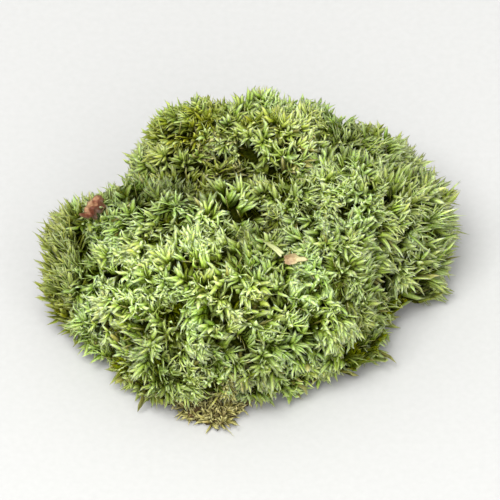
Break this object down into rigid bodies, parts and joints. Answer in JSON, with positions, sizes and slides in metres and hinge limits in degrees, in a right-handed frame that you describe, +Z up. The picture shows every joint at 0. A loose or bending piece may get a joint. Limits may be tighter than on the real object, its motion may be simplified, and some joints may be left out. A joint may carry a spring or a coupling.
{
  "type": "moss clump",
  "caption": "Rounded clump of green cushion moss with a rear lobe, on a flat-cut brown mat of dead stems, with bits of leaf litter caught in it.",
  "frame": {"origin": "on the ground, under the middle of the clump's box", "axes": "+Z up from the flat cut, +X along the clump's width, -Y towards the front, which the picture is taken from"},
  "size_m": [0.0724, 0.0638, 0.0333],
  "materials": {
    "living_moss": "fine pale to olive green leaves, matt",
    "dead_stems": "brown felted dead stems and rootlets, matt",
    "red_dry_leaf": "crumpled dark red dry leaf",
    "tan_dry_leaf": "pinkish tan dry leaf",
    "pale_stalk": "pale dry stalk"
  },
  "bodies": {
    "root": {"moss_cushion": "living_moss", "base_mat": "dead_stems", "red_leaf_scrap": "red_dry_leaf", "tan_leaf_scrap": "tan_dry_leaf", "pale_twig": "pale_stalk"}
  },
  "joints": []
}
